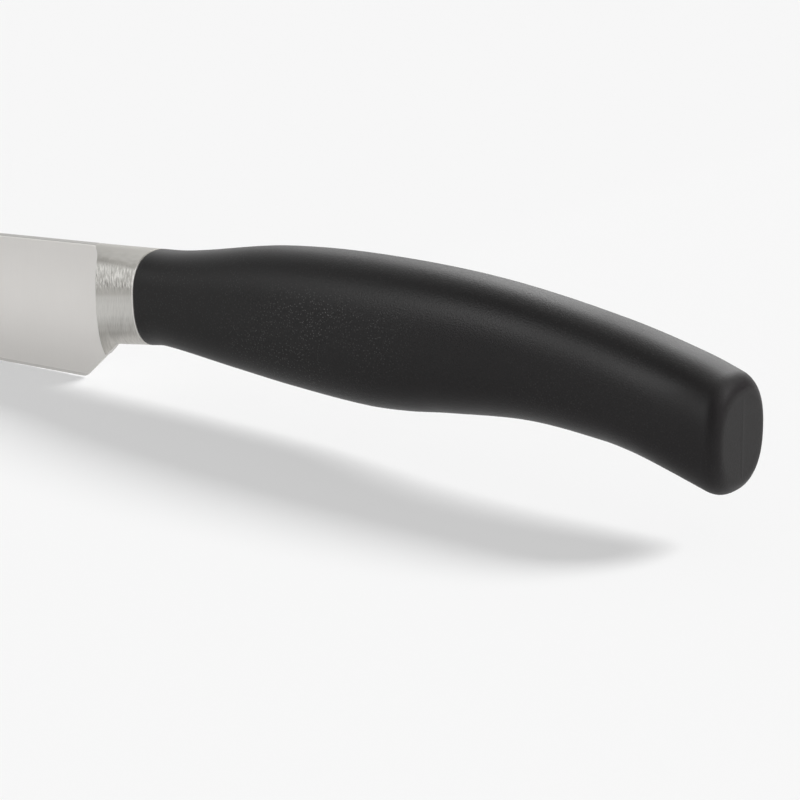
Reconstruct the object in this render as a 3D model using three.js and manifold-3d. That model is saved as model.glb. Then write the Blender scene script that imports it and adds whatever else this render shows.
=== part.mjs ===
import * as THREE from 'three';
import { mergeVertices } from 'three/addons/utils/BufferGeometryUtils.js';
import Module from 'manifold-3d';

// Ham knife in millimetres, standing edge down with +Z up.
// +X runs from the tip to the butt and Y across the blade, with the left side at -Y.
// The pieces share one set-out: x = 0 is the joint of bolster and handle, z = 0 the axis of the tang.

const degrees = THREE.MathUtils.degToRad;

// Overall lengths
const BLADE_LENGTH = 250; // from the bolster to the tip
const HANDLE_LENGTH = 120; // from the joint to the butt

// Blade
const EDGE_DEPTH = 17; // from the axis down to the cutting edge
const SPINE_RISE = 8.4; // from the axis up to the spine at the bolster
const SPINE_DROP = 12.6; // fall of the straight spine over the blade's length
const SPINE_THICKNESS = 2.1; // at the bolster
const TIP_THICKNESS = 1.0; // of the spine towards the tip
const SHOULDER_THICKNESS = 0.45; // where the edge bevel starts
const BEVEL_HEIGHT = 0.6;
const SPINE_CHAMFER = 0.2;
const TIP_SWEEP = 52; // length over which edge and spine curve to the tip
const TIP_RISE = 8.5; // of the tip above the straight edge
const EDGE_SWEEP_POWER = 2.2; // the edge starts to curve early
const SPINE_SWEEP_POWER = 3; // and the spine later
const TIP_ROUND = 0.8; // half the height of the rounded end
const HEEL_LEAD = 5.1; // heel corner ahead of the bolster
const HEEL_ANGLE = degrees(44); // rise of the cut from the heel corner to the bolster's underside
const HEEL_ROUND = 0.9;

// Tang, hidden in the bolster and the handle
const TANG_THICKNESS = SPINE_THICKNESS; // blade and tang are one plate
const TANG_LENGTH = 84; // inside the handle
const TANG_FRONT_HEIGHT = 12;
const TANG_END_HEIGHT = 8;
const TANG_BEDDING = 0.3; // gap all round the tang
const BLADE_ROOT = 3; // ground part of the blade inside the bolster

// Bolster
const BOLSTER_LENGTH = 11.2; // at the axis
const BOLSTER_FRONT_HALF_WIDTH = 3.4;
const BOLSTER_FRONT_WIDEST = -1.5; // level of the widest place at the front
const BOLSTER_CREST_POWER = 3; // squarer towards the spine
const BOLSTER_FOOT_POWER = 1.8; // drawn to a narrow foot towards the heel
const BOLSTER_FOOT_SPARE = 0.2; // the foot runs this much steeper than the heel cut that trims it
const BOLSTER_HOLLOW = 0.2; // depth of the hollow in the flared sides
const BOLSTER_UNDER_ANGLE = degrees(8); // fall of the underside towards the blade
const BOLSTER_RIM = 0.3; // rounding of the rim at the handle
const CREST_REACH = 2; // the front line sweeps forward to meet the spine
const CREST_HEIGHT = 2.2; // height of that sweep below the spine
const CREST_BEND = 0.4; // share of that height, down from the spine, where the sweep turns
const SHOULDER_GAP = 0.3; // solder gap between the blade's shoulders and the bolster

// Neck, the section that bolster and handle share at their joint
const NECK_RISE = 8.9;
const NECK_DEPTH = 8.5;
const NECK_HALF_WIDTH = 6.8;
const NECK_WIDEST = 1.7; // level of the widest place
const NECK_POWER = 2.35; // 2 is an ellipse, higher is squarer

// Handle: places along its length, from joint 0 to butt 1, with heights from the axis in millimetres
const TOP_LINE = [
  [0, NECK_RISE], [0.04, 9.2], [0.08, 9.9], [0.23, 13.1], [0.4, 14.15], [0.6, 13.25], [0.8, 9.75],
  [0.93, 6], [1, 3],
];
const BOTTOM_LINE = [
  [0, -NECK_DEPTH], [0.035, -8.1], [0.16, -9.7], [0.27, -11.1], [0.4, -12.15], [0.47, -11.85],
  [0.54, -10.9], [0.675, -9.65], [0.8, -10.75], [0.85, -11.85], [0.9, -13.6], [1, -17.6],
];
const HALF_WIDTHS = [[0, NECK_HALF_WIDTH], [0.17, 8.2], [0.4, 9.2], [0.68, 8.7], [0.9, 8.9], [1, 9]];
const WIDEST_LEVELS = [[0, NECK_WIDEST], [0.4, 2], [0.7, 1.4], [1, -6.5]];
const POWERS = [[0, NECK_POWER], [0.4, 2.4], [1, 2.4]];
const FRONT_ROUND = 0.4; // edge of the handle at the bolster
const BUTT_SIDE_ROUND = 2.8; // side edges of the flat end
const BUTT_UPPER_ROUND = 2.6;
const BUTT_LOWER_ROUND = 4.2;

// Cross pins through the tang, the middle one halfway between the others
const FRONT_PIN_SETBACK = 20; // behind the joint
const REAR_PIN_SETBACK = 12; // ahead of the tang's end
const PIN_RADIUS = 2;
const PIN_LENGTH = 9;
const PIN_CHAMFER = 0.4;
const PIN_CLEARANCE = 0.3;

// Fineness of the curved surfaces
const SIDE_STEPS = 24; // from the bottom to the top of a section
const HANDLE_STEPS = 44;
const BOLSTER_STEPS = 12;
const BLADE_STEPS = 12; // along the straight part
const TIP_STEPS = 22;
const ROUND_STEPS = 6;
const RIM_STEP = 0.25; // share of a small edge rounding where it gets a ring of its own
const PIN_SIDES = 24;
const CUT_REACH = 40; // cutters run this far past what they cut

const STEEL = { color: 0xc4c2bd, metalness: 1, roughness: 0.35 };
const BOLSTER_STEEL = { color: 0xb9b6b0, metalness: 1, roughness: 0.4 };
const BLACK_PLASTIC = { color: 0x1d1d1e, metalness: 0, roughness: 0.5 };

const wasm = await Module();
wasm.setup();

const rearPin = TANG_LENGTH - REAR_PIN_SETBACK;
const PIN_PLACES = {
  pin_front: FRONT_PIN_SETBACK,
  pin_middle: (FRONT_PIN_SETBACK + rearPin) / 2,
  pin_rear: rearPin,
};

const BOLSTER_FRONT = -BOLSTER_LENGTH;
const heel = new THREE.Vector2(BOLSTER_FRONT - HEEL_LEAD, -EDGE_DEPTH);
const heelSlope = Math.tan(HEEL_ANGLE);
const underSlope = Math.tan(BOLSTER_UNDER_ANGLE);

// Inner corner, where the heel cut meets the underside of the bolster
const cornerX = (EDGE_DEPTH - NECK_DEPTH + heel.x * heelSlope) / (heelSlope - underSlope);
const corner = new THREE.Vector2(cornerX, cornerX * underSlope - NECK_DEPTH);

// Smooth curve of height over place through [place, height] points
function curveThrough(points) {
  const slopes = points.map((point, i) => {
    const before = points[Math.max(i - 1, 0)];
    const after = points[Math.min(i + 1, points.length - 1)];
    return (after[1] - before[1]) / (after[0] - before[0]);
  });
  return (place) => {
    const last = points.length - 2;
    const found = points.findIndex((point) => point[0] > place) - 1;
    const i = found < 0 ? last : found;
    const span = points[i + 1][0] - points[i][0];
    const t = (place - points[i][0]) / span;
    const rise = points[i + 1][1] - points[i][1];
    const ease = t * t * (3 - 2 * t);
    const leave = slopes[i] * span * t * (1 - t) * (1 - t);
    const arrive = slopes[i + 1] * span * t * t * (1 - t);
    return points[i][1] + rise * ease + leave - arrive;
  };
}

// How far a rounded edge has drawn in at a distance from the end face
function drawnIn(radius, distance) {
  const left = Math.max(radius - distance, 0);
  return radius - Math.sqrt(radius * radius - left * left);
}

// One side of an egg-shaped section at x: two quarter superellipses that meet at the widest level.
// The right side (side 1) runs from bottom to top and the left side (side -1) from top to bottom.
function eggSide(section, x, side) {
  const points = [];
  for (let i = 0; i <= SIDE_STEPS; i += 1) {
    const level = Math.sin(side * (i / SIDE_STEPS - 0.5) * Math.PI);
    const reach = level > 0 ? section.top - section.widest : section.widest - section.bottom;
    const power = level > 0 ? section.upperPower : section.lowerPower;
    const share = (1 - Math.abs(level) ** power) ** (1 / power);
    points.push([x, side * section.halfWidth * share, section.widest + reach * level]);
  }
  return points;
}

function eggRing(section, x) {
  return [...eggSide(section, x, 1), ...eggSide(section, x, -1).slice(1, -1)];
}

// Closed skin over rings that follow each other along +X, each counter-clockwise as seen from +X
function loft(rings) {
  const positions = [];
  const triangle = (a, b, c) => positions.push(...a, ...b, ...c);
  const middle = (ring) => [0, 1, 2].map((axis) => {
    const sum = ring.reduce((total, point) => total + point[axis], 0);
    return sum / ring.length;
  });
  const first = rings[0];
  const last = rings[rings.length - 1];
  const firstMiddle = middle(first);
  const lastMiddle = middle(last);
  for (let j = 0; j < first.length; j += 1) {
    const k = (j + 1) % first.length;
    for (let i = 1; i < rings.length; i += 1) {
      triangle(rings[i - 1][j], rings[i][k], rings[i][j]);
      triangle(rings[i - 1][j], rings[i - 1][k], rings[i][k]);
    }
    triangle(firstMiddle, first[k], first[j]);
    triangle(lastMiddle, last[j], last[k]);
  }
  const geometry = new THREE.BufferGeometry();
  geometry.setAttribute('position', new THREE.Float32BufferAttribute(positions, 3));
  return geometry;
}

// Plate with an outline in x and z, centred on the middle plane of the knife
function plate(outline, thickness) {
  const geometry = new THREE.ExtrudeGeometry(outline, { depth: thickness, bevelEnabled: false });
  geometry.rotateX(Math.PI / 2);
  geometry.translate(0, thickness / 2, 0);
  return geometry;
}

function toSolid(geometry) {
  const bare = geometry.clone();
  bare.deleteAttribute('normal');
  bare.deleteAttribute('uv');
  const welded = mergeVertices(bare);
  const vertProperties = new Float32Array(welded.attributes.position.array);
  const triVerts = new Uint32Array(welded.index.array);
  return new wasm.Manifold(new wasm.Mesh({ numProp: 3, vertProperties, triVerts }));
}

function toGeometry(solid) {
  const mesh = solid.getMesh();
  const geometry = new THREE.BufferGeometry();
  geometry.setAttribute('position', new THREE.BufferAttribute(mesh.vertProperties, 3));
  geometry.setIndex(new THREE.BufferAttribute(mesh.triVerts, 1));
  geometry.computeVertexNormals();
  return geometry;
}

function named(name, geometry, finish) {
  const mesh = new THREE.Mesh(geometry, new THREE.MeshStandardMaterial(finish));
  mesh.name = name;
  return mesh;
}

// Outline of the tang from startX to its rounded end, grown by a gap
function tangOutline(startX, gap) {
  const frontHalf = TANG_FRONT_HEIGHT / 2 + gap;
  const endHalf = TANG_END_HEIGHT / 2 + gap;
  const endX = TANG_LENGTH - TANG_END_HEIGHT / 2;
  const outline = new THREE.Shape();
  outline.moveTo(startX, -frontHalf);
  outline.lineTo(0, -frontHalf);
  outline.lineTo(endX, -endHalf);
  outline.absarc(endX, 0, endHalf, -Math.PI / 2, Math.PI / 2, false);
  outline.lineTo(0, frontHalf);
  outline.lineTo(startX, frontHalf);
  outline.closePath();
  return outline;
}

// Room for the tang, cut through the bolster and into both halves of the handle
function tangRoom() {
  const outline = tangOutline(BOLSTER_FRONT - CUT_REACH, TANG_BEDDING);
  return toSolid(plate(outline, TANG_THICKNESS + 2 * TANG_BEDDING));
}

// Room for a pin at a distance behind the joint
function pinRoom(place) {
  const radius = PIN_RADIUS + PIN_CLEARANCE;
  const geometry = new THREE.CylinderGeometry(radius, radius, PIN_LENGTH + 2 * PIN_CLEARANCE, PIN_SIDES);
  geometry.translate(place, 0, 0);
  return toSolid(geometry);
}

// What lies below the diagonal heel cut, with the heel corner softened
function heelCut() {
  const outline = new THREE.Shape();
  outline.moveTo(heel.x - HEEL_ROUND, heel.y);
  outline.quadraticCurveTo(
    heel.x,
    heel.y,
    heel.x + HEEL_ROUND * Math.cos(HEEL_ANGLE),
    heel.y + HEEL_ROUND * Math.sin(HEEL_ANGLE),
  );
  outline.lineTo(corner.x, corner.y);
  outline.lineTo(corner.x, heel.y - CUT_REACH);
  outline.lineTo(heel.x - HEEL_ROUND, heel.y - CUT_REACH);
  outline.closePath();
  return toSolid(plate(outline, CUT_REACH));
}

// Straight line of the spine, carried on over the bolster, at a distance ahead of the bolster
function spineLine(ahead) {
  return SPINE_RISE - SPINE_DROP * ahead / BLADE_LENGTH;
}

// Flat-ground blade section at a distance ahead of the bolster
function bladeRing(ahead) {
  const toTip = BLADE_LENGTH - ahead;
  const sweep = Math.max(1 - toTip / TIP_SWEEP, 0);
  const tip = TIP_RISE - EDGE_DEPTH;
  const spineLow = spineLine(BLADE_LENGTH) - (tip + TIP_ROUND);
  const spine = spineLine(ahead) - spineLow * sweep ** SPINE_SWEEP_POWER;
  const edge = (TIP_RISE - TIP_ROUND) * sweep ** EDGE_SWEEP_POWER - EDGE_DEPTH;
  const endLeft = Math.max(1 - toTip / TIP_ROUND, 0);
  const roundedHalf = (spine - edge) / 2 * Math.sqrt(1 - endLeft * endLeft);
  const middle = (spine + edge) / 2;
  const top = middle + roundedHalf;
  const bottom = middle - roundedHalf;
  const straightHeight = spineLine(ahead) + EDGE_DEPTH;
  const taper = THREE.MathUtils.lerp(SPINE_THICKNESS, TIP_THICKNESS, ahead / BLADE_LENGTH);
  const half = taper / 2 * Math.sqrt((spine - edge) / straightHeight);
  const shoulderHalf = Math.min(SHOULDER_THICKNESS / 2, half);
  const bevelTop = bottom + Math.min(BEVEL_HEIGHT, (top - bottom) / 4);
  const chamfer = Math.min(SPINE_CHAMFER, half / 2, (top - bottom) / 4);
  const x = BOLSTER_FRONT - ahead;
  return [
    [x, 0, bottom],
    [x, shoulderHalf, bevelTop],
    [x, half, top - chamfer],
    [x, half - chamfer, top],
    [x, chamfer - half, top],
    [x, -half, top - chamfer],
    [x, -shoulderHalf, bevelTop],
  ];
}

// What lies on one side of the bolster's front line: behind it (side 1) or ahead of it (side -1).
// The line rises straight from the heel and sweeps forward at the spine.
function frontCut(side, gap) {
  const line = BOLSTER_FRONT - gap;
  const crest = spineLine(0);
  const outline = new THREE.Shape();
  outline.moveTo(line, -CUT_REACH);
  outline.lineTo(line, crest - CREST_HEIGHT);
  outline.quadraticCurveTo(line, crest - CREST_HEIGHT * CREST_BEND, line - CREST_REACH, crest);
  outline.lineTo(line - CREST_REACH, CUT_REACH);
  outline.lineTo(line + side * CUT_REACH, CUT_REACH);
  outline.lineTo(line + side * CUT_REACH, -CUT_REACH);
  outline.closePath();
  return toSolid(plate(outline, CUT_REACH));
}

function bladeGeometry() {
  const distances = [];
  for (let i = 0; i < ROUND_STEPS; i += 1) {
    const turn = (i + 0.5) / ROUND_STEPS;
    distances.push(BLADE_LENGTH - TIP_ROUND * (1 - Math.cos(turn * Math.PI / 2)));
  }
  for (let i = 0; i < TIP_STEPS; i += 1) {
    distances.push(BLADE_LENGTH - TIP_ROUND - (TIP_SWEEP - TIP_ROUND) * i / TIP_STEPS);
  }
  const straight = BLADE_LENGTH - TIP_SWEEP;
  for (let i = 0; i <= BLADE_STEPS; i += 1) {
    distances.push(straight - (straight + BLADE_ROOT) * i / BLADE_STEPS);
  }
  const ground = toSolid(loft(distances.map(bladeRing)));
  const tang = toSolid(plate(tangOutline(BOLSTER_FRONT + BLADE_ROOT / 2, 0), TANG_THICKNESS));
  const tangBand = toSolid(new THREE.BoxGeometry(2 * CUT_REACH, 2 * CUT_REACH, TANG_FRONT_HEIGHT));
  const shoulders = frontCut(1, SHOULDER_GAP).subtract(tangBand);
  let blade = ground.subtract(shoulders).subtract(heelCut()).add(tang);
  for (const place of Object.values(PIN_PLACES)) {
    blade = blade.subtract(pinRoom(place));
  }
  return toGeometry(blade);
}

// Bolster section at a distance ahead of the joint: from the neck's egg shape to a thin upright drop.
// Ahead of the inner corner its foot runs just below the heel cut, which then trims it.
function bolsterRing(ahead) {
  const x = -ahead;
  const share = ahead / BOLSTER_LENGTH;
  const rim = drawnIn(BOLSTER_RIM, ahead);
  const hollow = BOLSTER_HOLLOW * 4 * share * (1 - share);
  const pastCorner = Math.max(corner.x - x, 0);
  const foot = pastCorner * (heelSlope - underSlope + BOLSTER_FOOT_SPARE);
  const section = {
    top: THREE.MathUtils.lerp(NECK_RISE, SPINE_RISE, share) - rim,
    bottom: x * underSlope - NECK_DEPTH - foot + rim,
    widest: THREE.MathUtils.lerp(NECK_WIDEST, BOLSTER_FRONT_WIDEST, share),
    halfWidth: THREE.MathUtils.lerp(NECK_HALF_WIDTH, BOLSTER_FRONT_HALF_WIDTH, share) - hollow - rim,
    upperPower: THREE.MathUtils.lerp(NECK_POWER, BOLSTER_CREST_POWER, share),
    lowerPower: THREE.MathUtils.lerp(NECK_POWER, BOLSTER_FOOT_POWER, share),
  };
  return eggRing(section, x);
}

function bolsterGeometry() {
  const distances = [0, BOLSTER_RIM * RIM_STEP, -corner.x];
  const longest = BOLSTER_LENGTH + 2 * CREST_REACH;
  for (let i = 0; i <= BOLSTER_STEPS; i += 1) {
    distances.push(THREE.MathUtils.lerp(BOLSTER_RIM, longest, i / BOLSTER_STEPS));
  }
  distances.sort((a, b) => b - a);
  const bolster = toSolid(loft(distances.map(bolsterRing)));
  return toGeometry(bolster.subtract(frontCut(-1, 0)).subtract(heelCut()).subtract(tangRoom()));
}

const topAt = curveThrough(TOP_LINE);
const bottomAt = curveThrough(BOTTOM_LINE);
const halfWidthAt = curveThrough(HALF_WIDTHS);
const widestAt = curveThrough(WIDEST_LEVELS);
const powerAt = curveThrough(POWERS);

// Handle section at a distance behind the joint, drawn in at the rounded edges of both ends
function handleSection(x) {
  const place = x / HANDLE_LENGTH;
  const toButt = HANDLE_LENGTH - x;
  const front = drawnIn(FRONT_ROUND, x);
  return {
    top: topAt(place) - front - drawnIn(BUTT_UPPER_ROUND, toButt),
    bottom: bottomAt(place) + front + drawnIn(BUTT_LOWER_ROUND, toButt),
    widest: widestAt(place),
    halfWidth: halfWidthAt(place) - front - drawnIn(BUTT_SIDE_ROUND, toButt),
    upperPower: powerAt(place),
    lowerPower: powerAt(place),
  };
}

function handleGeometry(side) {
  const places = [0, FRONT_ROUND * RIM_STEP];
  const buttStart = HANDLE_LENGTH - BUTT_LOWER_ROUND;
  for (let i = 0; i < HANDLE_STEPS; i += 1) {
    places.push(THREE.MathUtils.lerp(FRONT_ROUND, buttStart, i / HANDLE_STEPS));
  }
  for (let i = 0; i <= ROUND_STEPS; i += 1) {
    places.push(buttStart + BUTT_LOWER_ROUND * Math.sin(i / ROUND_STEPS * Math.PI / 2));
  }
  let half = toSolid(loft(places.map((x) => eggSide(handleSection(x), x, side))));
  half = half.subtract(tangRoom());
  for (const place of Object.values(PIN_PLACES)) {
    half = half.subtract(pinRoom(place));
  }
  return toGeometry(half);
}

function pinGeometry() {
  const end = PIN_LENGTH / 2;
  const profile = [
    new THREE.Vector2(0, -end),
    new THREE.Vector2(PIN_RADIUS - PIN_CHAMFER, -end),
    new THREE.Vector2(PIN_RADIUS, PIN_CHAMFER - end),
    new THREE.Vector2(PIN_RADIUS, end - PIN_CHAMFER),
    new THREE.Vector2(PIN_RADIUS - PIN_CHAMFER, end),
    new THREE.Vector2(0, end),
  ];
  return new THREE.LatheGeometry(profile, PIN_SIDES);
}

const knife = new THREE.Group();
knife.add(named('blade', bladeGeometry(), STEEL));
knife.add(named('bolster', bolsterGeometry(), BOLSTER_STEEL));
knife.add(named('handle_left', handleGeometry(-1), BLACK_PLASTIC));
knife.add(named('handle_right', handleGeometry(1), BLACK_PLASTIC));
for (const [name, place] of Object.entries(PIN_PLACES)) {
  const pin = named(name, pinGeometry(), STEEL);
  pin.position.set(place, 0, 0);
  knife.add(pin);
}

// The origin is below the middle of the knife's length, on the board that the edge stands on
const box = new THREE.Box3().setFromObject(knife);
knife.position.set(-(box.min.x + box.max.x) / 2, 0, -box.min.z);

export default knife;
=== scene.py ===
import math

import bmesh
import bpy
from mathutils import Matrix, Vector

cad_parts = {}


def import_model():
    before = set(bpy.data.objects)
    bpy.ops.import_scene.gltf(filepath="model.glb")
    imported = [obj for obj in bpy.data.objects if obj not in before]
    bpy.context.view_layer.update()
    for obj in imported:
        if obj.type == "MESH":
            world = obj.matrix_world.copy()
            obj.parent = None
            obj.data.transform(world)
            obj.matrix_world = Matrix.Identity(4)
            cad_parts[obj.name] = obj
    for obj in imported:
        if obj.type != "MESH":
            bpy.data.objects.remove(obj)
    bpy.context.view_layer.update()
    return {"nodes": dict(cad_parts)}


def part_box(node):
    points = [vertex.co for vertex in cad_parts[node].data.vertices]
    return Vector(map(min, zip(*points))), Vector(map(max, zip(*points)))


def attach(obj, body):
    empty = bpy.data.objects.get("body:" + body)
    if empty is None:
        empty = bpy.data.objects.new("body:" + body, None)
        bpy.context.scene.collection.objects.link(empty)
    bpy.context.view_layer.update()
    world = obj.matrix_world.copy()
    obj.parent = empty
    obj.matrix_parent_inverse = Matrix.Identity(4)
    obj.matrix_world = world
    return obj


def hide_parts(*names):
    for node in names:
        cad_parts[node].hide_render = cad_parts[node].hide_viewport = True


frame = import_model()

scene = bpy.context.scene

# Set-out shared with the CAD, in millimetres:
# x = 0 at the joint of bolster and handle, z = 0 on the tang's axis
MM = 0.001
JOINT_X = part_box("bolster")[1].x
AXIS_Z = (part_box("pin_front")[0].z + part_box("pin_front")[1].z) / 2

# Blade
BLADE_LENGTH = 250
EDGE_DEPTH = 17
SPINE_RISE = 8.4
SPINE_DROP = 12.6
SPINE_THICKNESS = 2.1
TIP_THICKNESS = 1.0
SHOULDER_THICKNESS = 0.45
BEVEL_HEIGHT = 0.6
SPINE_ROUND = 0.3
TIP_SWEEP = 52
TIP_RISE = 8.5
EDGE_SWEEP_POWER = 2.2
SPINE_SWEEP_POWER = 3
TIP_ROUND = 0.8
HEEL_LEAD = 5.1
HEEL_ANGLE = math.radians(44)
HEEL_ROUND = 0.9
BLADE_ROOT = 2.4  # how far the visible blade runs on into the bolster
ROOT_DROP = 0.5  # of its top there, below the bolster's crest
EDGE_FLAT = 0.012  # half the width left on the cutting edge

# Bolster
BOLSTER_LENGTH = 11.2
BOLSTER_FRONT_HALF_WIDTH = 3.4
BOLSTER_FRONT_WIDEST = -1.5
BOLSTER_CREST_POWER = 3
BOLSTER_FOOT_POWER = 1.8
BOLSTER_FOOT_SPARE = 0.2
BOLSTER_HOLLOW = 0.2
BOLSTER_UNDER_ANGLE = math.radians(8)
BOLSTER_RIM = 0.3
CREST_REACH = 2
CREST_HEIGHT = 2.2
CREST_BEND = 0.4
FRONT_EDGE = 0.12  # softened edge of the step down to the blade

# Neck and handle
NECK_RISE = 8.9
NECK_DEPTH = 8.5
NECK_HALF_WIDTH = 6.8
NECK_WIDEST = 1.7
NECK_POWER = 2.35
HANDLE_LENGTH = 120
TOP_LINE = [
    (0, NECK_RISE), (0.04, 9.2), (0.08, 9.9), (0.23, 13.1), (0.4, 14.15), (0.6, 13.25), (0.8, 9.75),
    (0.93, 6), (1, 3),
]
BOTTOM_LINE = [
    (0, -NECK_DEPTH), (0.035, -8.1), (0.16, -9.7), (0.27, -11.1), (0.4, -12.15), (0.47, -11.85),
    (0.54, -10.9), (0.675, -9.65), (0.8, -10.75), (0.85, -11.85), (0.9, -13.6), (1, -17.6),
]
HALF_WIDTHS = [(0, NECK_HALF_WIDTH), (0.17, 8.2), (0.4, 9.2), (0.68, 8.7), (0.9, 8.9), (1, 9)]
WIDEST_LEVELS = [(0, NECK_WIDEST), (0.4, 2), (0.7, 1.4), (1, -6.5)]
POWERS = [(0, NECK_POWER), (0.4, 2.4), (1, 2.4)]
FRONT_ROUND = 0.4
BUTT_SIDE_ROUND = 2.8
BUTT_UPPER_ROUND = 2.6
BUTT_LOWER_ROUND = 4.2
SEAM = 0.05  # half the width of the seam line between the halves
SEAM_RIDGE = 0.006  # its height on the butt

# Fineness
HANDLE_STEPS = 150
HANDLE_SIDE_STEPS = 72
ROUND_STEPS = 18
RIM_STEPS = 6
CAP_STEPS = 6
BOLSTER_STEPS = 34
BOLSTER_SIDE_STEPS = 80
REACH_STEPS = 400
BLADE_STEPS = 60
TIP_STEPS = 70
TIP_ROUND_STEPS = 10
HEEL_STEPS = 10
SPINE_STEPS = 8
HALVINGS = 40
WELD = 0.002 * MM
SLIVER = 0.001 * MM

# Angles in degrees from which an edge is shaded as sharp
HANDLE_SHARP = 40
BOLSTER_SHARP = 30
BLADE_SHARP = 12

BOLSTER_FRONT = -BOLSTER_LENGTH
HEEL_X = BOLSTER_FRONT - HEEL_LEAD
HEEL_SLOPE = math.tan(HEEL_ANGLE)
UNDER_SLOPE = math.tan(BOLSTER_UNDER_ANGLE)
CORNER_X = (EDGE_DEPTH - NECK_DEPTH + HEEL_X * HEEL_SLOPE) / (HEEL_SLOPE - UNDER_SLOPE)


def lerp(a, b, share):
    return a + (b - a) * share


def clamped(value):
    return min(max(value, 0), 1)


def evenly(start, end, count):
    """Places from a start towards an end in equal steps, without the end."""
    return [lerp(start, end, i / count) for i in range(count)]


def rounding(radius, count):
    """Distances from an end face over a rounded edge, closest together at the face."""
    return [radius * (1 - math.cos(i / count * math.pi / 2)) for i in range(count)]


def levels(count):
    """Levels of a section from -1, its bottom, to 1, its top, closest together at both."""
    return [math.sin((i / count - 0.5) * math.pi) for i in range(count + 1)]


def bent(a, b, c, t):
    """Place at a share of the curve that leaves a towards b and arrives at c."""
    return (1 - t) ** 2 * a + 2 * t * (1 - t) * b + t * t * c


def last_place(start, end, holds):
    """Last place between two at which a test holds, found by halving."""
    for _ in range(HALVINGS):
        middle = (start + end) / 2
        start, end = (middle, end) if holds(middle) else (start, middle)
    return start


def in_frame(x, y, z):
    return Vector((x * MM + JOINT_X, y * MM, z * MM + AXIS_Z))


def curve_through(points):
    """Smooth curve of height over place through (place, height) points."""
    last = len(points) - 1
    slopes = []
    for i in range(len(points)):
        before, after = points[max(i - 1, 0)], points[min(i + 1, last)]
        slopes.append((after[1] - before[1]) / (after[0] - before[0]))

    def height(place):
        i = next((k - 1 for k in range(1, last + 1) if points[k][0] > place), last - 1)
        span = points[i + 1][0] - points[i][0]
        t = (place - points[i][0]) / span
        rise = points[i + 1][1] - points[i][1]
        leave = slopes[i] * span * t * (1 - t) ** 2
        arrive = slopes[i + 1] * span * t * t * (1 - t)
        return points[i][1] + rise * t * t * (3 - 2 * t) + leave - arrive

    return height


def drawn_in(radius, distance):
    """How far a rounded edge has drawn in at a distance from the end face."""
    left = max(radius - distance, 0)
    return radius - math.sqrt(radius * radius - left * left)


def egg_point(section, level):
    """Half width and height of an egg-shaped section at a level from -1, its bottom, to 1, its top."""
    up = level > 0
    reach = section["top"] - section["widest"] if up else section["widest"] - section["bottom"]
    power = section["upper_power"] if up else section["lower_power"]
    share = max(1 - abs(level) ** power, 0) ** (1 / power)
    return section["half_width"] * share, section["widest"] + reach * level


def grid(bm, rows):
    """Quads over rows of points of one length."""
    verts = [[bm.verts.new(in_frame(*p)) for p in row] for row in rows]
    for a, b in zip(verts, verts[1:]):
        for k in range(len(a) - 1):
            bm.faces.new((a[k], a[k + 1], b[k + 1], b[k]))


def finished(name, bm, material, node, sharp_angle):
    """Welds and shades a mesh, and lets it stand for a CAD node."""
    bmesh.ops.remove_doubles(bm, verts=bm.verts, dist=WELD)
    bmesh.ops.dissolve_degenerate(bm, edges=bm.edges, dist=SLIVER)
    bmesh.ops.recalc_face_normals(bm, faces=bm.faces)
    for face in bm.faces:
        face.smooth = True
    limit = math.radians(sharp_angle)
    for edge in bm.edges:
        edge.smooth = len(edge.link_faces) == 2 and edge.calc_face_angle(0) < limit
    mesh = bpy.data.meshes.new(name)
    bm.to_mesh(mesh)
    bm.free()
    piece = bpy.data.objects.new(name, mesh)
    scene.collection.objects.link(piece)
    mesh.materials.append(material)
    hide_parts(node)
    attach(piece, "root")


# Handle

top_at = curve_through(TOP_LINE)
bottom_at = curve_through(BOTTOM_LINE)
half_width_at = curve_through(HALF_WIDTHS)
widest_at = curve_through(WIDEST_LEVELS)
power_at = curve_through(POWERS)


def handle_section(x):
    place = x / HANDLE_LENGTH
    to_butt = HANDLE_LENGTH - x
    front = drawn_in(FRONT_ROUND, x)
    return {
        "top": top_at(place) - front - drawn_in(BUTT_UPPER_ROUND, to_butt),
        "bottom": bottom_at(place) + front + drawn_in(BUTT_LOWER_ROUND, to_butt),
        "widest": widest_at(place),
        "half_width": half_width_at(place) - front - drawn_in(BUTT_SIDE_ROUND, to_butt),
        "upper_power": power_at(place),
        "lower_power": power_at(place),
    }


def handle_half(side):
    """One half: outer skin, front and butt faces and seam face, with a fine ridge at the seam on the butt."""
    butt_start = HANDLE_LENGTH - BUTT_LOWER_ROUND
    xs = rounding(FRONT_ROUND, RIM_STEPS) + evenly(FRONT_ROUND, butt_start, HANDLE_STEPS)
    for i in range(ROUND_STEPS + 1):
        xs.append(butt_start + BUTT_LOWER_ROUND * math.sin(i / ROUND_STEPS * math.pi / 2))
    rows = []
    for x in xs:
        section = handle_section(x)
        skin = [egg_point(section, level) for level in levels(HANDLE_SIDE_STEPS)]
        row = [(x, side * max(y, SEAM), z) for y, z in skin]
        rows.append([(x, 0, row[0][2])] + row + [(x, 0, row[-1][2])])
    bm = bmesh.new()
    grid(bm, rows)
    for row, ridge in ((rows[0], 0), (rows[-1], SEAM_RIDGE)):
        face = []
        for x, y, z in row[1:-1]:
            line = [(x, lerp(y, side * SEAM, i / CAP_STEPS), z) for i in range(CAP_STEPS + 1)]
            face.append(line + [(x + ridge, 0, z)])
        grid(bm, face)
    grid(bm, [[row[0], row[-1]] for row in rows])
    return bm


# Bolster


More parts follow.
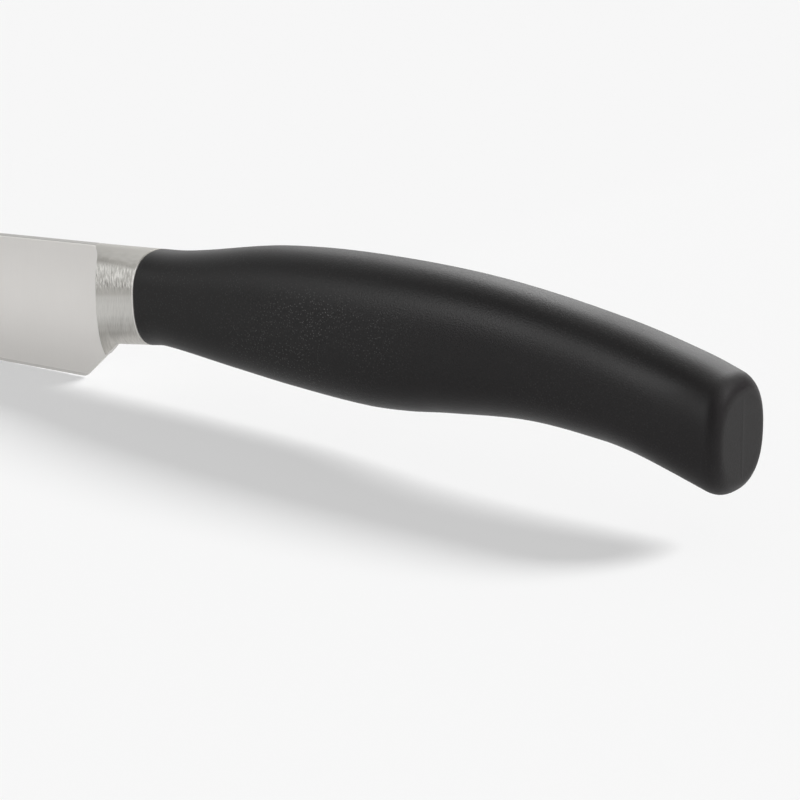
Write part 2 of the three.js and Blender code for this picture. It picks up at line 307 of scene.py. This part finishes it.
def front_line(z):
    """Place of the bolster's front at a height: straight, with a sweep forward at the spine."""
    low = SPINE_RISE - CREST_HEIGHT
    if z <= low:
        return BOLSTER_FRONT
    if z >= SPINE_RISE:
        return BOLSTER_FRONT - CREST_REACH
    bend = SPINE_RISE - CREST_HEIGHT * CREST_BEND
    t = last_place(0, 1, lambda share: bent(low, bend, SPINE_RISE, share) < z)
    return BOLSTER_FRONT - CREST_REACH * t * t


def heel_line(x):
    """Height of the straight diagonal heel cut."""
    return (x - HEEL_X) * HEEL_SLOPE - EDGE_DEPTH


def bolster_point(ahead, level):
    """Half width and height of the bolster's skin at a distance ahead of the joint."""
    x = -ahead
    share = ahead / BOLSTER_LENGTH
    rim = drawn_in(BOLSTER_RIM, ahead)
    foot = max(CORNER_X - x, 0) * (HEEL_SLOPE - UNDER_SLOPE + BOLSTER_FOOT_SPARE)
    hollow = BOLSTER_HOLLOW * 4 * share * (1 - share)
    section = {
        "top": lerp(NECK_RISE, SPINE_RISE, share) - rim,
        "bottom": x * UNDER_SLOPE - NECK_DEPTH - foot + rim,
        "widest": lerp(NECK_WIDEST, BOLSTER_FRONT_WIDEST, share),
        "half_width": lerp(NECK_HALF_WIDTH, BOLSTER_FRONT_HALF_WIDTH, share) - hollow - rim,
        "upper_power": lerp(NECK_POWER, BOLSTER_CREST_POWER, share),
        "lower_power": lerp(NECK_POWER, BOLSTER_FOOT_POWER, share),
    }
    return egg_point(section, level)


def bolster_reach(level):
    """Distance from the joint at which the skin meets the front line or the heel cut."""

    def inside(ahead):
        z = bolster_point(ahead, level)[1]
        return -ahead >= front_line(z) and (-ahead >= CORNER_X or z >= heel_line(-ahead))

    longest = BOLSTER_LENGTH + 2 * CREST_REACH
    step = longest / REACH_STEPS
    start = 0.0
    for i in range(REACH_STEPS + 1):
        if not inside(i * step):
            break
        start = i * step
    return last_place(start, start + step, inside)


def blade_half(x, z):
    """Half thickness of the flat-ground blade."""
    ahead = max(BOLSTER_FRONT - x, 0)
    spine = lerp(SPINE_THICKNESS, TIP_THICKNESS, ahead / BLADE_LENGTH) / 2
    top = SPINE_RISE - SPINE_DROP * ahead / BLADE_LENGTH
    share = (z + EDGE_DEPTH - BEVEL_HEIGHT) / (top + EDGE_DEPTH - BEVEL_HEIGHT)
    return lerp(SHOULDER_THICKNESS / 2, spine, clamped(share))


def bolster_mesh():
    """Both sides of the collar: skin with the softened step down to the blade, and the face at the joint."""
    bm = bmesh.new()
    rim = rounding(BOLSTER_RIM, RIM_STEPS)
    for side in (-1, 1):
        rows = []
        for level in levels(BOLSTER_SIDE_STEPS):
            end = bolster_reach(level)
            edge = end - FRONT_EDGE
            row = []
            for ahead in rim + evenly(BOLSTER_RIM, edge, BOLSTER_STEPS) + [edge]:
                y, z = bolster_point(ahead, level)
                row.append((-ahead, side * y, z))
            y, z = bolster_point(end, level)
            inner = min(blade_half(-end, z), y)
            row.append((-end, side * max(y - FRONT_EDGE, inner), z))
            row.append((-end, side * inner, z))
            rows.append(row)
        grid(bm, rows)
        grid(bm, [[row[0], (0, 0, row[0][2])] for row in rows])
    return bm


# Blade


def blade_row(ahead):
    """Half section of the blade from the edge to the spine, as (half width, height)."""
    to_tip = BLADE_LENGTH - ahead
    sweep = max(1 - to_tip / TIP_SWEEP, 0)
    spine_end = SPINE_RISE - SPINE_DROP
    straight = SPINE_RISE - SPINE_DROP * ahead / BLADE_LENGTH
    spine = straight - (spine_end - (TIP_RISE - EDGE_DEPTH + TIP_ROUND)) * sweep ** SPINE_SWEEP_POWER
    edge = (TIP_RISE - TIP_ROUND) * sweep ** EDGE_SWEEP_POWER - EDGE_DEPTH
    end_left = clamped(1 - to_tip / TIP_ROUND)
    half_height = (spine - edge) / 2 * math.sqrt(1 - end_left * end_left)
    top = (spine + edge) / 2 + half_height
    bottom = (spine + edge) / 2 - half_height
    taper = lerp(SPINE_THICKNESS, TIP_THICKNESS, max(ahead, 0) / BLADE_LENGTH)
    half = taper / 2 * math.sqrt((spine - edge) / (straight + EDGE_DEPTH))
    shoulder = min(SHOULDER_THICKNESS / 2, half)
    bevel_top = bottom + min(BEVEL_HEIGHT, (top - bottom) / 4)
    top -= ROOT_DROP * clamped(1 - ahead / CREST_REACH)
    radius = min(SPINE_ROUND, half / 2, (top - bottom) / 4)
    row = [(min(EDGE_FLAT, half), bottom), (shoulder, bevel_top)]
    for i in range(SPINE_STEPS + 1):
        angle = i / SPINE_STEPS * math.pi / 2
        row.append((half - radius * (1 - math.cos(angle)), top - radius * (1 - math.sin(angle))))
    return row


def heel_bottom(x):
    """Lowest height that the heel cut leaves at x: a softened corner and then the straight cut."""
    start = HEEL_X - HEEL_ROUND
    end = HEEL_X + HEEL_ROUND * math.cos(HEEL_ANGLE)
    if x <= start:
        return -EDGE_DEPTH
    if x >= end:
        return heel_line(x)
    t = last_place(0, 1, lambda share: bent(start, HEEL_X, end, share) < x)
    return -EDGE_DEPTH + t * t * HEEL_ROUND * math.sin(HEEL_ANGLE)


def trimmed(row, x):
    """A blade row without what lies below the heel cut."""
    low = heel_bottom(x)
    points = []
    for (y, z), above in zip(row, row[1:] + row[-1:]):
        if z < low:
            span = above[1] - z
            share = min((low - z) / span, 1) if span > 0 else 0
            y, z = lerp(y, above[0], share), low
        points.append((y, z))
    return points


def add_tang(bm):
    """Adds the tang with its pin holes from the CAD, cut off inside the bolster."""
    tang = bmesh.new()
    tang.from_mesh(frame["nodes"]["blade"].data)
    bmesh.ops.remove_doubles(tang, verts=tang.verts, dist=WELD)
    cut = bmesh.ops.bisect_plane(
        tang,
        geom=tang.verts[:] + tang.edges[:] + tang.faces[:],
        plane_co=in_frame(BOLSTER_FRONT + BLADE_ROOT / 2, 0, 0),
        plane_no=(1, 0, 0),
        clear_inner=True,
    )
    rim = [e for e in cut["geom_cut"] if isinstance(e, bmesh.types.BMEdge)]
    bmesh.ops.holes_fill(tang, edges=rim)
    carried = bpy.data.meshes.new("tang")
    tang.to_mesh(carried)
    tang.free()
    bm.from_mesh(carried)
    bpy.data.meshes.remove(carried)


def blade_mesh():
    """The visible blade in fine steps from the tip into the bolster, and the tang."""
    heel_start = HEEL_LEAD + HEEL_ROUND
    heel_end = HEEL_LEAD - HEEL_ROUND
    aheads = [BLADE_LENGTH - distance for distance in rounding(TIP_ROUND, TIP_ROUND_STEPS)]
    aheads += evenly(BLADE_LENGTH - TIP_ROUND, BLADE_LENGTH - TIP_SWEEP, TIP_STEPS)
    aheads += evenly(BLADE_LENGTH - TIP_SWEEP, heel_start, BLADE_STEPS)
    aheads += evenly(heel_start, heel_end, HEEL_STEPS)
    aheads += evenly(heel_end, -BLADE_ROOT, HEEL_STEPS) + [-BLADE_ROOT]
    rows = []
    for ahead in aheads:
        x = BOLSTER_FRONT - ahead
        half = trimmed(blade_row(ahead), x)
        rows.append([(x, -y, z) for y, z in reversed(half)] + [(x, y, z) for y, z in half])
        rows[-1].append(rows[-1][0])
    bm = bmesh.new()
    grid(bm, rows)
    for row in (rows[0], rows[-1]):
        bm.faces.new([bm.verts.new(in_frame(*p)) for p in row[:-1]])
    add_tang(bm)
    return bm


# Materials

NOISE_RANGE = (0.3, 0.7)  # in which most of a noise's values lie


class Nodes:
    """Short way to add and link shader nodes."""

    def __init__(self, tree):
        self.nodes = tree.nodes
        self.links = tree.links

    def add(self, kind, **values):
        node = self.nodes.new(kind)
        for key, value in values.items():
            setattr(node, key, value)
        return node

    def put(self, value, socket):
        if isinstance(value, bpy.types.NodeSocket):
            self.links.new(value, socket)
        else:
            socket.default_value = value

    def fill(self, node, values):
        for key, value in values.items():
            self.put(value, node.inputs[key])

    def math(self, operation, a, b=0.0):
        node = self.add("ShaderNodeMath", operation=operation)
        self.fill(node, {0: a, 1: b})
        return node.outputs[0]

    def product(self, first, *others):
        for other in others:
            first = self.math("MULTIPLY", first, other)
        return first

    def span(self, value, low, high, to_low=0.0, to_high=1.0, run="LINEAR"):
        """Ramp from one number to another while a value goes from low to high."""
        node = self.add("ShaderNodeMapRange", interpolation_type=run)
        self.fill(node, {"Value": value, "From Min": low, "From Max": high})
        self.fill(node, {"To Min": to_low, "To Max": to_high})
        return node.outputs["Result"]

    def seen_rays(self):
        """1 for rays that show the backdrop: those of the camera, of mirrors and through glass, but not those
        by which the knife's metal would light the floor."""
        path = self.add("ShaderNodeLightPath").outputs
        seen = self.math("MAXIMUM", path["Is Camera Ray"], path["Is Glossy Ray"])
        seen = self.math("MAXIMUM", seen, path["Is Transmission Ray"])
        return self.product(seen, self.math("LESS_THAN", path["Diffuse Depth"], 0.5))


class Surface(Nodes):
    """A material on the Principled shader, textured by the place on the object."""

    def __init__(self, name):
        self.material = bpy.data.materials.new(name)
        self.material.use_nodes = True
        super().__init__(self.material.node_tree)
        self.shader = self.nodes["Principled BSDF"]
        self.place = self.add("ShaderNodeTexCoord").outputs["Object"]

    def part(self, vector, name):
        node = self.add("ShaderNodeSeparateXYZ")
        self.put(vector, node.inputs[0])
        return node.outputs[name]

    def axis(self, name):
        return self.part(self.place, name)

    def facing(self, name):
        """How far the surface faces along an axis, from -1 to 1."""
        return self.part(self.add("ShaderNodeNewGeometry").outputs["Normal"], name)

    def along(self, low, high, to_low=0.0, to_high=1.0):
        """Ramp along the knife, between two places in millimetres behind the joint."""
        return self.span(self.axis("X"), JOINT_X + low * MM, JOINT_X + high * MM, to_low, to_high)

    def above(self, low, high, to_low=0.0, to_high=1.0):
        """Ramp upwards, between two heights in millimetres above the axis."""
        return self.span(self.axis("Z"), AXIS_Z + low * MM, AXIS_Z + high * MM, to_low, to_high)

    def leaning(self, lean):
        """Coordinates whose uprights lean back along the knife, by a share of the distance from the axis."""
        node = self.add("ShaderNodeCombineXYZ")
        away = self.math("ABSOLUTE", self.math("SUBTRACT", self.axis("Z"), AXIS_Z))
        leant = self.math("ADD", self.axis("X"), self.product(away, lean))
        self.fill(node, {"X": leant, "Y": self.axis("Y"), "Z": self.axis("Z")})
        return node.outputs["Vector"]

    def noise(self, scale, detail=2.0, roughness=0.5, vector=None):
        node = self.add("ShaderNodeTexNoise")
        place = self.place if vector is None else vector
        self.fill(node, {"Vector": place, "Scale": scale, "Detail": detail, "Roughness": roughness})
        return node.outputs["Fac"]

    def streaks(self, scale, detail=2.0, roughness=0.5, vector=None):
        """Noise with its own scale on each axis."""
        node = self.add("ShaderNodeMapping")
        self.fill(node, {"Vector": self.place if vector is None else vector, "Scale": scale})
        return self.noise(1, detail, roughness, node.outputs["Vector"])

    def evened(self, noise, to_low=0.0, to_high=1.0):
        """Ramp over the range in which most of a noise's values lie."""
        return self.span(noise, *NOISE_RANGE, to_low, to_high)

    def dots(self, scale, inner, outer):
        """1 in small scattered dots, given by shares of their spacing, and 0 between them."""
        node = self.add("ShaderNodeTexVoronoi")
        self.fill(node, {"Vector": self.place, "Scale": scale})
        return self.span(node.outputs["Distance"], inner, outer, 1.0, 0.0)

    def steps(self, value, stops):
        """Smooth run of numbers over a value, through (value, number) stops."""
        low, high = stops[0][0], stops[-1][0]
        node = self.add("ShaderNodeValToRGB")
        self.put(self.span(value, low, high), node.inputs["Fac"])
        node.color_ramp.interpolation = "EASE"
        elements = node.color_ramp.elements
        for i, (place, number) in enumerate(stops):
            element = elements[i] if i < 2 else elements.new(1)
            element.position = (place - low) / (high - low)
            element.color = (number, number, number, 1)
        return node.outputs["Color"]

    def blend(self, share, a, b):
        node = self.add("ShaderNodeMix", data_type="FLOAT")
        self.fill(node, {0: share, 2: a, 3: b})
        return node.outputs[0]

    def mixed_colours(self, share, a, b):
        node = self.add("ShaderNodeMix", data_type="RGBA")
        self.fill(node, {0: share, 6: a, 7: b})
        return node.outputs[2]

    def colours(self, share, a, b):
        return self.mixed_colours(share, (*a, 1), (*b, 1))

    def joined(self, red, green, blue):
        node = self.add("ShaderNodeCombineColor")
        self.fill(node, {"Red": red, "Green": green, "Blue": blue})
        return node.outputs["Color"]

    def bump(self, height, strength, distance):
        node = self.add("ShaderNodeBump")
        self.fill(node, {"Height": height, "Strength": strength, "Distance": distance})
        self.links.new(node.outputs["Normal"], self.shader.inputs["Normal"])

    def brushed(self, amount):
        """Metal that is smooth along the knife and rough across it."""
        tangent = self.add("ShaderNodeTangent", direction_type="RADIAL", axis="X")
        self.links.new(tangent.outputs["Tangent"], self.shader.inputs["Tangent"])
        self.shader.inputs["Anisotropic"].default_value = amount

    def set(self, **values):
        self.fill(self.shader, {key.replace("_", " "): value for key, value in values.items()})


# Plastic of the handle
PLASTIC_GRAIN = ((0.0044, 0.004, 0.004), (0.021, 0.0195, 0.0195))  # colours of its hollows and tops
# painted shade: the deeper black that the flanks take towards the butt
PLASTIC_PAINTED_SHADE = (0.006, 0.0045, 0.005)
# pale colour of the specks: partly painted glints
PLASTIC_SPECK_GLINT = (0.165, 0.161, 0.159)
PLASTIC_ROUGHNESS = (0.45, 0.51)
PLASTIC_DULLER = 0.12  # added to the roughness at the butt
PLASTIC_SPECULAR = 0.28
CLOUD_SCALE = 38
GRAIN_SCALE = 2600
GRAIN_AWAY = 0.1  # strength of the grain away from the palm
RELIEF_SCALE = 3300
GRAIN_ROUGHNESS = 0.6
SPECK_SCALE = 2200
SPECK_SIZE = (0.12, 0.34)
BUTT_FACING = (0.93, 0.99)
SHADED_FLANK_FACING = (0.85, 0.5)


def handle_plastic():
    """Black moulded plastic: fine grain and specks, most where the palm lies, faint clouds and a soft sheen;
    the specks are raised, and their pale colour is partly painted glints.
    The flanks are painted a deeper black towards the butt, as painted shade, and the butt and the side next
    to it are duller."""
    t = Surface("moulded_plastic")
    clouds = t.noise(CLOUD_SCALE)
    palm = t.product(t.along(19, 31), t.along(68, 46), t.above(-8, 0.5, 0.25, 1), t.above(9.5, 5.5))
    texture = t.blend(palm, GRAIN_AWAY, 1.0)
    grain = t.blend(texture, 0.5, t.noise(GRAIN_SCALE, roughness=GRAIN_ROUGHNESS))
    rise = t.product(t.along(15, 45, 0.27, 1.35), t.along(75, 115, 1, 0.6))
    relief = t.product(t.noise(RELIEF_SCALE, roughness=GRAIN_ROUGHNESS), rise)
    # the specks are raised dots; their pale colour is partly painted glints
    specks_and_glints = t.product(t.dots(SPECK_SCALE, *SPECK_SIZE), t.span(clouds, 0.32, 0.54), texture)
    butt = t.span(t.facing("X"), *BUTT_FACING)
    beside_butt = t.product(t.along(104, 114), t.along(119.6, 118.4), t.above(4, 1))
    dull = t.math("MAXIMUM", beside_butt, butt)
    # painted shade: the flanks, not the top, underside or butt, are painted darker towards the butt
    shaded_flank = t.product(t.math("SUBTRACT", 1, butt), t.span(t.math("ABSOLUTE", t.facing("Z")), *SHADED_FLANK_FACING))
    painted_shade = t.product(shaded_flank, t.along(30, 75))
    black = t.mixed_colours(painted_shade, t.colours(t.evened(grain), *PLASTIC_GRAIN), (*PLASTIC_PAINTED_SHADE, 1))
    t.set(
        Base_Color=t.mixed_colours(specks_and_glints, black, (*PLASTIC_SPECK_GLINT, 1)),
        Roughness=t.math("ADD", t.evened(clouds, *PLASTIC_ROUGHNESS), t.product(dull, PLASTIC_DULLER)),
        Specular_IOR_Level=PLASTIC_SPECULAR,
    )
    t.bump(t.math("ADD", relief, specks_and_glints), 0.8, 0.05 * MM)
    return t.material


# Tone of the bolster's grinding passes and of painted reflection bands by height above the axis in
# millimetres, halfway along the bolster
PASSES_AND_REFLECTION_BANDS = [
    (-12, 0.45), (-7.6, 0.465), (-6.7, 0.44), (-5.4, 0.545), (-4, 0.635), (-2.8, 0.71), (-1.3, 0.685),
    (0.2, 0.62), (1.2, 0.49), (2.2, 0.47), (3.2, 0.56), (4.6, 0.64), (5.8, 0.63), (6.35, 0.42),
    (6.7, 0.43), (7.1, 0.5), (7.6, 0.53), (8.1, 0.53), (9, 0.45),
]
BANDS_RISE = (0.2, 0.03)  # of the middle and the upper bands towards the handle, on each millimetre
BANDS_WAVE = 0.3  # by which the streaks move the bands up and down
STREAK_LEAN = 0.2
STREAK_ROUGHNESS = 0.65
COARSE_STREAKS = (4300, 300, 800)
FINE_STREAKS = (4600, 300, 420)
TOP_STREAKS = (420, 1500, 1500)
COARSE_CONTRAST = 0.34
FINE_CONTRAST = 0.13
TOP_CONTRAST = 0.07
BOLSTER_ROUGHNESS = (0.44, 0.34)
BOLSTER_RIM_ROUGHNESS = 0.6
BOLSTER_TINTS = ((1.0, 1.0), (0.966, 0.985), (0.9, 0.94))  # of dark and pale bands, for red, green and blue
STEEL_BRUSHING = 0.6


def bolster_steel():
    """Brushed steel: short coarse upright streaks on the upper side, finer ones below, smooth on the top. Its
    tone runs in bands by height, partly grinding passes and partly painted reflections, and the rim at the
    joint is painted darker towards its top as painted shade.
    """
    t = Surface("bolster_brushed")
    up = t.above(-12, 9, -12, 9)
    behind = t.along(-BOLSTER_LENGTH, 0, -BOLSTER_LENGTH / 2, BOLSTER_LENGTH / 2)
    height = t.math("SUBTRACT", up, t.product(behind, t.span(up, 2, 6.7, *BANDS_RISE)))
    upright = t.leaning(STREAK_LEAN)
    coarse = t.span(t.streaks(COARSE_STREAKS, 3, STREAK_ROUGHNESS, upright), 0.41, 0.59)
    fine = t.evened(t.streaks(FINE_STREAKS, 3, STREAK_ROUGHNESS, upright))
    along = t.span(t.streaks(TOP_STREAKS, 3), 0.2, 0.8)
    coarse_zone = t.product(t.span(height, 1.2, 2.4), t.span(height, 6.6, 6.0))
    top_zone = t.span(height, 6.3, 6.8)
    rim = t.along(-BOLSTER_RIM, -0.2)
    streak = t.blend(top_zone, t.blend(coarse_zone, fine, coarse), along)
    contrast = t.blend(top_zone, t.blend(coarse_zone, FINE_CONTRAST, COARSE_CONTRAST), TOP_CONTRAST)
    wavy = t.math("ADD", height, t.span(streak, 0.0, 1.0, -BANDS_WAVE, BANDS_WAVE))
    marks = t.product(t.math("SUBTRACT", streak, 0.5), contrast)
    # painted reflection: the tone bands by height are partly grinding passes and partly mirrored surroundings
    # painted in
    passes_and_reflections = t.math("ADD", t.steps(wavy, PASSES_AND_REFLECTION_BANDS), marks)
    # painted shade: the rim at the joint is painted darker towards its top
    tone = t.blend(rim, passes_and_reflections, t.span(up, 6.4, 7.8, 0.7, 0.42))
    pale = t.span(tone, 0.4, 0.66)
    t.set(
        Base_Color=t.joined(*(t.product(tone, t.blend(pale, *tint)) for tint in BOLSTER_TINTS)),
        Metallic=1.0,
        Roughness=t.blend(rim, t.span(streak, 0.0, 1.0, *BOLSTER_ROUGHNESS), BOLSTER_RIM_ROUGHNESS),
    )
    t.brushed(STEEL_BRUSHING)
    t.bump(streak, 0.25, 0.02 * MM)
    return t.material


# Steel of the blade: darker and lighter colour of each zone. The zones carry painted light and shade: the
# lower part and the edge lighter, the corners a painted highlight, the spine and the bevel painted shade
BLADE_UPPER = ((0.68, 0.663, 0.641), (0.71, 0.693, 0.67))
# painted light: the lower part and the edge are lighter
BLADE_LOWER_PAINTED_LIGHT = ((0.79, 0.77, 0.744), (0.82, 0.8, 0.774))
BLADE_AT_EDGE_PAINTED_LIGHT = ((0.755, 0.737, 0.71), (0.785, 0.766, 0.738))
# painted highlight on the rounded corners
BLADE_CORNER_HIGHLIGHT = ((0.72, 0.703, 0.68), (0.755, 0.738, 0.713))
# painted shade on the spine and the bevel
BLADE_SPINE_SHADE = ((0.41, 0.401, 0.388), (0.47, 0.46, 0.445))
BLADE_BEVEL_SHADE = ((0.58, 0.568, 0.548), (0.66, 0.648, 0.626))
BLADE_LINES = (5200, 300, 180)
BLADE_CLOUDS = 45
BLADE_ROUGHNESS = (0.33, 0.28)
GROUND_ROUGHNESS = 0.55  # of the spine, its corners and the bevel


def blade_steel():
    """Satin steel: almost even, with very fine grinding lines from spine to edge. Its colour carries painted
    light and shade: a lighter lower part and edge as painted light, pale rounded corners as a painted
    highlight, and a darker spine and bevel as painted shade. The corners and the bevel are also rougher, as
    ground."""
    t = Surface("blade_satin")
    lines = t.streaks(BLADE_LINES)
    mixed = t.evened(t.blend(0.75, lines, t.noise(BLADE_CLOUDS, detail=3)))
    # painted light: the lower part and the edge are painted lighter against the shadow that they mirror
    sides_with_painted_light = t.mixed_colours(t.above(6, -12), t.colours(mixed, *BLADE_UPPER), t.colours(mixed, *BLADE_LOWER_PAINTED_LIGHT))
    sides_with_painted_light = t.mixed_colours(t.above(-11, -17), sides_with_painted_light, t.colours(mixed, *BLADE_AT_EDGE_PAINTED_LIGHT))
    # painted highlight: the rounded corners are painted pale
    corner = t.span(t.facing("Z"), 0.1, 0.35)
    # painted shade: the spine and the bevel are painted darker
    spine = t.span(t.facing("Z"), 0.7, 0.95)
    bevel = t.span(t.facing("Z"), -0.12, -0.28)
    colour = t.mixed_colours(corner, sides_with_painted_light, t.colours(lines, *BLADE_CORNER_HIGHLIGHT))
    colour = t.mixed_colours(spine, colour, t.colours(lines, *BLADE_SPINE_SHADE))
    ground = t.math("MAXIMUM", corner, bevel)
    t.set(
        Base_Color=t.mixed_colours(bevel, colour, t.colours(lines, *BLADE_BEVEL_SHADE)),
        Metallic=1.0,
        Roughness=t.blend(ground, t.span(mixed, 0.0, 1.0, *BLADE_ROUGHNESS), GROUND_ROUGHNESS),
    )
    t.brushed(STEEL_BRUSHING)
    t.bump(lines, 0.03, 0.01 * MM)
    return t.material


PIN_LINES = (3000, 150, 3000)
PIN_COLOURS = ((0.5, 0.5, 0.5), (0.6, 0.6, 0.6))
PIN_ROUGHNESS = (0.4, 0.3)


def pin_steel():
    """Drawn steel with lines along the pin."""
    t = Surface("pin_drawn")
    lines = t.streaks(PIN_LINES)
    t.set(
        Base_Color=t.colours(lines, *PIN_COLOURS),
        Metallic=1.0,
        Roughness=t.evened(lines, *PIN_ROUGHNESS),
    )
    return t.material


plastic = handle_plastic()
finished("handle_left_half", handle_half(-1), plastic, "handle_left", HANDLE_SHARP)
finished("handle_right_half", handle_half(1), plastic, "handle_right", HANDLE_SHARP)
finished("bolster_collar", bolster_mesh(), bolster_steel(), "bolster", BOLSTER_SHARP)
finished("blade_and_tang", blade_mesh(), blade_steel(), "blade", BLADE_SHARP)
pins = pin_steel()
for name in ("pin_front", "pin_middle", "pin_rear"):
    frame["nodes"][name].material_slots[0].material = pins

# Stage, light and camera: angles in degrees

FLOOR_HALF = 8.0
FLOOR_DROP = 0.02 * MM  # of the floor below the cutting edge
FLOOR_TONES = ((0.898, 0.902), (0.898, 0.902), (0.9, 0.9))  # darkest and lightest, for red, green and blue
FLOOR_CLOUDS = 3
FALL_START = 56 * MM  # the floor is level under the blade and falls gently away under the handle
FALL_END = 400 * MM
FALL_SLOPE = 0.069
FALL_SOFT = 6 * MM  # length over which it bends
FALL_BEND = 3 * FALL_SOFT  # reach of the bend on each side, for its tone
FALL_MARGIN = 8 * FALL_SOFT  # and for its mesh
FALL_STEPS = 240
FALL_TONE = 0.965  # tone of the falling part, which evens out the light that it faces more
FLOOR_GLOW = 0.57  # share of the floor that is seen at the backdrop's own white
WHITE = 0.93  # level of floor and backdrop
WORLD_LIGHT = 0.18  # level of the light that the surroundings give

# Darker patches of the surroundings:
# azimuth, elevation, angles from there at which they start and are full, level
DARK_PATCHES = [
    (-15, 64, 50, 16, 0.2),  # ceiling
    (34, 20, 34, 12, 0.1),  # room behind the camera
    (-34, 2, 34, 8, 0.15),  # wall beside it
    (153, 18, 28, 10, 0.05),  # gap in the backdrop behind the butt
]

# Soft lights:
# name, azimuth, elevation, half angle that they fill, brightness, whether they are mirrored or give light
LAMPS = [
    ("key_light", 138, 35.2, 10.7, 42.8, False),
    ("back_light", -162, 30, 17, 3.6, True),
    ("side_light", -18, 30, 12.5, 10.4, True),
    ("butt_light", 123, 35, 8, 10.5, True),
]

CAMERA_TARGET = Vector((123.37, 0, 6.24)) * MM
CAMERA_DISTANCE = 650 * MM
CAMERA_AZIMUTH = 34
CAMERA_ELEVATION = 15.54
CAMERA_LENS = 169.54
CAMERA_SENSOR = 36
CAMERA_NEAR = 0.01


def toward(azimuth, elevation):
    """Direction of a place around the knife: azimuth 0 is in front, at -Y, and 90 at +X."""
    a, e = math.radians(azimuth), math.radians(elevation)
    return Vector((math.sin(a) * math.cos(e), -math.cos(a) * math.cos(e), math.sin(e)))


def floor_height(x):
    def fallen(start):
        share = (x - start) / FALL_SOFT
        return FALL_SLOPE * FALL_SOFT * (max(share, 0) + math.log1p(math.exp(-abs(share))))

    return fallen(FALL_END) - fallen(FALL_START) - FLOOR_DROP


def floor_paint():
    """Pale matt paint, which is seen partly at the backdrop's own white and keeps the shadow."""
    t = Surface("pale_floor")
    clouds = t.noise(FLOOR_CLOUDS)
    falls = t.span(t.axis("X"), FALL_START - FALL_BEND, FALL_START + FALL_BEND)
    level = t.span(t.axis("X"), FALL_END - FALL_BEND, FALL_END + FALL_BEND)
    tone = t.span(t.math("SUBTRACT", falls, level), 0, 1, 1, FALL_TONE)
    t.set(
        Base_Color=t.joined(*(t.product(tone, t.span(clouds, 0, 1, *ends)) for ends in FLOOR_TONES)),
        Roughness=1.0,
        Specular_IOR_Level=0.0,
    )
    glow = t.add("ShaderNodeEmission")
    glow.inputs["Strength"].default_value = WHITE
    mix = t.add("ShaderNodeMixShader")
    t.fill(mix, {0: t.product(t.seen_rays(), FLOOR_GLOW), 1: t.shader.outputs[0], 2: glow.outputs[0]})
    t.links.new(mix.outputs[0], t.nodes["Material Output"].inputs["Surface"])
    return t.material


def floor():
    """Wide sheet under the knife, with fine strips where it bends."""
    xs = [-FLOOR_HALF]
    for i in range(FALL_STEPS + 1):
        xs.append(lerp(FALL_START - FALL_MARGIN, FALL_END + FALL_MARGIN, i / FALL_STEPS))
    xs.append(FLOOR_HALF)
    corners = [(x, side * FLOOR_HALF, floor_height(x)) for x in xs for side in (-1, 1)]
    strips = [(2 * i, 2 * i + 2, 2 * i + 3, 2 * i + 1) for i in range(len(xs) - 1)]
    mesh = bpy.data.meshes.new("floor")
    mesh.from_pydata(corners, [], strips)
    mesh.shade_smooth()
    mesh.materials.append(floor_paint())
    sheet = bpy.data.objects.new("floor", mesh)
    scene.collection.objects.link(sheet)


def world():
    """White surroundings with darker patches. What is seen or mirrored of them has its own level, and so has
    the light that they give."""
    surroundings = bpy.data.worlds.new("studio")
    scene.world = surroundings
    surroundings.use_nodes = True
    t = Nodes(surroundings.node_tree)
    outward = t.add("ShaderNodeTexCoord").outputs["Generated"]
    level = WHITE
    for azimuth, elevation, start, full, darkest in DARK_PATCHES:
        near = t.add("ShaderNodeVectorMath", operation="DOT_PRODUCT")
        t.fill(near, {0: outward, 1: toward(azimuth, elevation)})
        ends = [math.cos(math.radians(angle)) for angle in (start, full)]
        level = t.product(level, t.span(near.outputs["Value"], *ends, 1, darkest, run="SMOOTHSTEP"))
    shows = t.seen_rays()
    given = t.product(t.math("SUBTRACT", 1, shows), WORLD_LIGHT)
    strength = t.math("ADD", t.product(level, shows), given)
    t.fill(t.nodes["Background"], {"Color": (1, 1, 1, 1), "Strength": strength})


def softbox(name, azimuth, elevation, half_angle, brightness, mirrored):
    """Round soft light far away, given by the half angle that it fills and its own brightness. It lights the
    surfaces, or it is only mirrored in them, at first sight and not by way of another surface."""
    light = bpy.data.lights.new(name, "SUN")
    light.angle = 2 * math.radians(half_angle)
    light.energy = brightness * math.pi * math.sin(math.radians(half_angle)) ** 2
    lamp = bpy.data.objects.new(name, light)
    lamp.rotation_mode = "QUATERNION"
    lamp.rotation_quaternion = toward(azimuth, elevation).to_track_quat("Z", "Y")
    lamp.visible_diffuse = not mirrored
    lamp.visible_glossy = mirrored
    if mirrored:
        light.cycles.max_bounces = 0
    scene.collection.objects.link(lamp)


def photo_camera():
    """Camera at the photo's angle and distance."""
    lens = bpy.data.cameras.new("camera")
    lens.lens = CAMERA_LENS
    lens.sensor_width = CAMERA_SENSOR
    lens.clip_start = CAMERA_NEAR
    camera = bpy.data.objects.new("camera", lens)
    back = toward(CAMERA_AZIMUTH, CAMERA_ELEVATION)
    camera.location = CAMERA_TARGET + CAMERA_DISTANCE * back
    camera.rotation_mode = "QUATERNION"
    camera.rotation_quaternion = back.to_track_quat("Z", "Y")
    scene.collection.objects.link(camera)
    return camera


floor()
world()
for lamp_values in LAMPS:
    softbox(*lamp_values)
scene.camera = photo_camera()
scene.view_settings.view_transform = "Standard"

bpy.context.view_layer.update()
